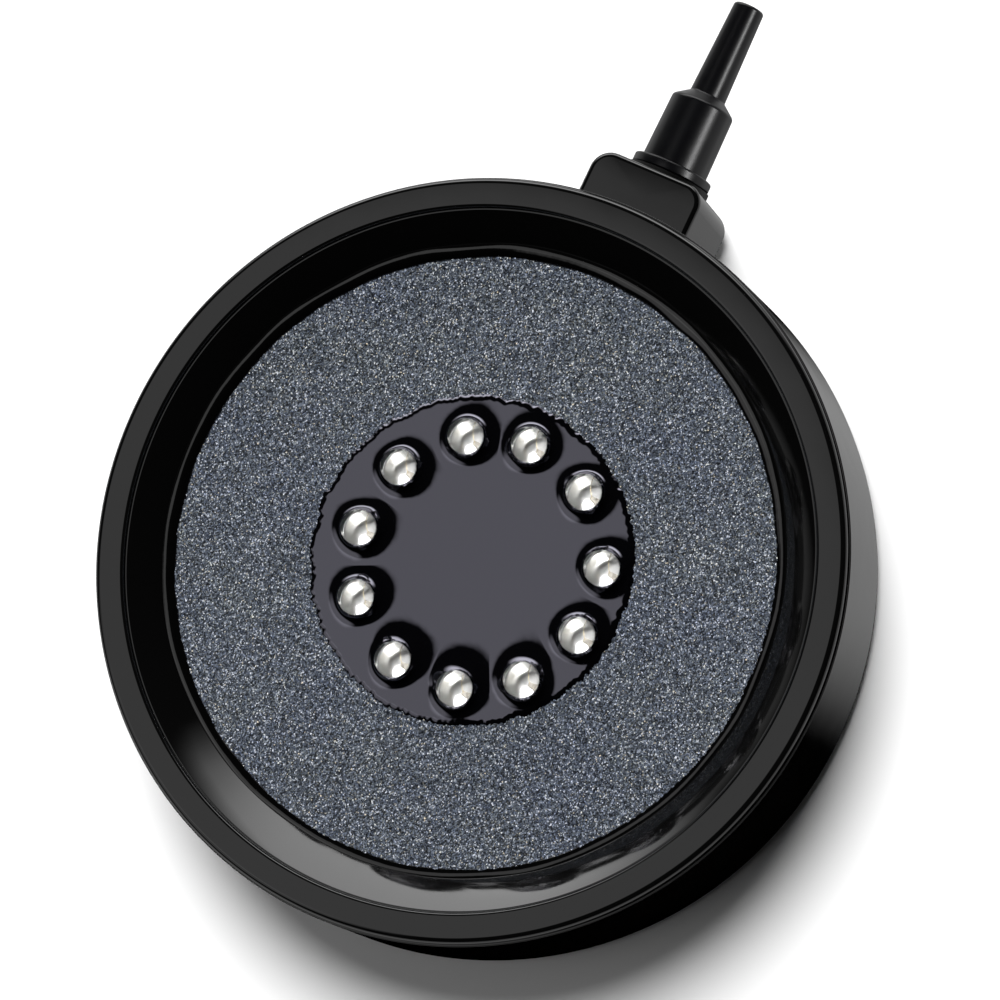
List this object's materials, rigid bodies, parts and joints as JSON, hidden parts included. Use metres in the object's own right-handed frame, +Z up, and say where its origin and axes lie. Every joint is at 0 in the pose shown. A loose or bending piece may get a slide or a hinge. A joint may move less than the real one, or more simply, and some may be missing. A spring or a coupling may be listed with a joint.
{
  "type": "air stone",
  "caption": "Round aquarium air stone: a gritty porous stone ring in a black dish, with a ring of clear LEDs potted in its middle and a tapered air nozzle on its side.",
  "frame": {"origin": "centre of the flat underside, on the disc's axis", "axes": "+Z up out of the stone along the disc's axis, +X from the disc's axis along the air nozzle towards its tip"},
  "size_m": [0.141, 0.1076, 0.024],
  "materials": {
    "moulded_abs": "black injection-moulded ABS with a polished skin",
    "nozzle_plastic": "satin black moulded plastic",
    "bonded_grit": "blue-grey bonded abrasive grit, open pored, sparkling grains",
    "sealant": "glossy black sealant run by hand",
    "potting_epoxy": "poured glossy black epoxy",
    "clear_epoxy": "water-clear cast epoxy",
    "plated_lead": "silver-plated leadframe",
    "board_laminate": "green glass-epoxy laminate",
    "resistor_ceramic": "black-coated chip resistor",
    "lead_red": "red PVC insulation",
    "lead_black": "black PVC insulation",
    "soft_rubber": "black moulded rubber"
  },
  "bodies": {
    "disc": {"housing": "moulded_abs", "rim_ring": "moulded_abs", "porous_stone": "bonded_grit", "stone_seal_bead": "sealant", "led_potting": "potting_epoxy", "led_board": "board_laminate", "led_resistors": "resistor_ceramic", "lead_positive": "lead_red", "lead_negative": "lead_black", "cable_grommet": "soft_rubber", "nozzle_gasket": "soft_rubber", "led_lens_01": "clear_epoxy", "led_cathode_01": "plated_lead", "led_anode_01": "plated_lead", "led_lens_02": "clear_epoxy", "led_cathode_02": "plated_lead", "led_anode_02": "plated_lead", "led_lens_03": "clear_epoxy", "led_cathode_03": "plated_lead", "led_anode_03": "plated_lead", "led_lens_04": "clear_epoxy", "led_cathode_04": "plated_lead", "led_anode_04": "plated_lead", "led_lens_05": "clear_epoxy", "led_cathode_05": "plated_lead", "led_anode_05": "plated_lead", "led_lens_06": "clear_epoxy", "led_cathode_06": "plated_lead", "led_anode_06": "plated_lead", "led_lens_07": "clear_epoxy", "led_cathode_07": "plated_lead", "led_anode_07": "plated_lead", "led_lens_08": "clear_epoxy", "led_cathode_08": "plated_lead", "led_anode_08": "plated_lead", "led_lens_09": "clear_epoxy", "led_cathode_09": "plated_lead", "led_anode_09": "plated_lead", "led_lens_10": "clear_epoxy", "led_cathode_10": "plated_lead", "led_anode_10": "plated_lead", "led_lens_11": "clear_epoxy", "led_cathode_11": "plated_lead", "led_anode_11": "plated_lead"},
    "nozzle": {"air_nozzle": "nozzle_plastic", "nozzle_o_ring": "soft_rubber"}
  },
  "joints": [
    {"name": "nozzle_swivel", "type": "hinge", "parent": "disc", "child": "nozzle", "pos_m": [0.05965, 0, 0.0115], "axis": [1, 0, 0], "continuous": true}
  ]
}
